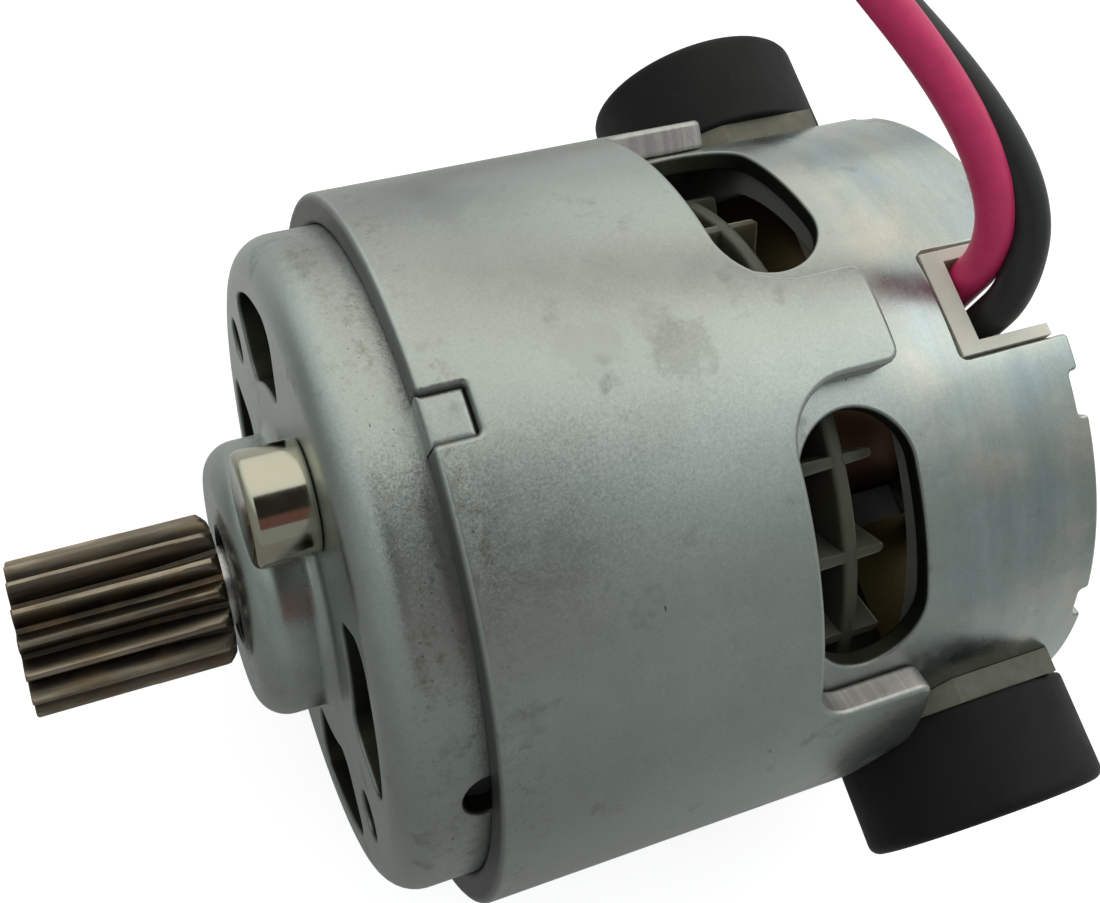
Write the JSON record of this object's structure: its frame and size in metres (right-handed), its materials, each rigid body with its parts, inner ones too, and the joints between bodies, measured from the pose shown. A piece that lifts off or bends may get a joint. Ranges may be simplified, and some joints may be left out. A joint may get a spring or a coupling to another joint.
{
  "type": "electric motor",
  "caption": "Brushed DC motor in a vented steel can with a flux ring, front locating pin, drive pinion, rubber side dampers and two leads.",
  "frame": {"origin": "centre of the shaft at the front mounting face", "axes": "+Y along the shaft towards the rear, +Z towards the lead exit, +X towards the right damper"},
  "size_m": [0.0999, 0.0705, 0.0627],
  "materials": {
    "zinc_steel": "satin zinc plating",
    "bright_nickel": "polished nickel plating",
    "pinion_steel": "oiled, hobbed",
    "ground_steel": "ground",
    "bearing_steel": "polished",
    "spring_steel": "satin",
    "core_steel": "punched laminations",
    "ferrite": "matt",
    "winding_enamel": "enamelled copper wire under varnish",
    "insulator_fibre": "matt",
    "natural_nylon": "natural, slightly translucent",
    "fan_nylon": "natural, slightly translucent",
    "commutator_copper": "turned",
    "phenolic": "moulded",
    "brass": "satin",
    "carbon": "matt",
    "copper_braid": "fine braid",
    "sintered_bronze": "matt, oiled",
    "felt": "felt",
    "black_rubber": "matt",
    "seat_coating": "matt",
    "red_insulation": "soft silicone rubber",
    "black_insulation": "soft silicone rubber",
    "tinned_brass": "tin plated",
    "black_sleeve": "shrunk sleeve",
    "red_sleeve": "shrunk sleeve"
  },
  "bodies": {
    "housing": {"motor_can": "zinc_steel", "flux_ring": "zinc_steel", "locating_pin": "bright_nickel", "damper_left": "black_rubber", "damper_right": "black_rubber", "damper_seat_left": "seat_coating", "damper_seat_right": "seat_coating", "bearing_outer_race": "bearing_steel", "bearing_shields": "ground_steel", "magnet_left": "ferrite", "magnet_right": "ferrite", "magnet_clip_top": "spring_steel", "magnet_clip_bottom": "spring_steel", "end_cap": "natural_nylon", "rear_bush": "sintered_bronze", "oil_felt": "felt", "bush_retainer": "spring_steel", "brush_box_left": "brass", "brush_box_right": "brass", "brush_spring_left": "spring_steel", "brush_spring_right": "spring_steel", "brush_shunt_left": "copper_braid", "brush_shunt_right": "copper_braid", "terminal_left": "brass", "terminal_right": "brass", "lead_red": "red_insulation", "lead_black": "black_insulation", "connector_red": "tinned_brass", "connector_black": "tinned_brass", "sleeve_red": "red_sleeve", "sleeve_black": "black_sleeve"},
    "rotor": {"motor_shaft": "ground_steel", "drive_pinion": "pinion_steel", "bearing_inner_race": "bearing_steel", "shaft_spacer": "brass", "thrust_washer": "phenolic", "armature_core": "core_steel", "core_insulator_front": "insulator_fibre", "core_insulator_rear": "insulator_fibre", "armature_windings": "winding_enamel", "cooling_fan": "fan_nylon", "commutator_hub": "phenolic", "commutator_segments": "commutator_copper"},
    "ball_cage": {"bearing_balls": "bearing_steel", "bearing_cage": "brass"},
    "brush_left": {"brush_left": "carbon"},
    "brush_right": {"brush_right": "carbon"}
  },
  "joints": [
    {"name": "rotor_spin", "type": "hinge", "parent": "housing", "child": "rotor", "pos_m": [0, 0, 0], "axis": [0, 1, 0], "continuous": true},
    {"name": "ball_cage_turn", "type": "hinge", "parent": "housing", "child": "ball_cage", "pos_m": [0, 0, 0], "axis": [0, 1, 0], "continuous": true},
    {"name": "brush_left_slide", "type": "slide", "parent": "housing", "child": "brush_left", "axis": [-1, 0, 0], "range_m": [0, 0.002], "stiffness_N_per_m": 150, "springref_m": -0.004, "deforming": ["brush_spring_left", "brush_shunt_left"]},
    {"name": "brush_right_slide", "type": "slide", "parent": "housing", "child": "brush_right", "axis": [1, 0, 0], "range_m": [0, 0.002], "stiffness_N_per_m": 150, "springref_m": -0.004, "deforming": ["brush_spring_right", "brush_shunt_right"]}
  ],
  "couplings": [
    {"joint": "ball_cage_turn", "follows": "rotor_spin", "ratio": 0.3676}
  ]
}
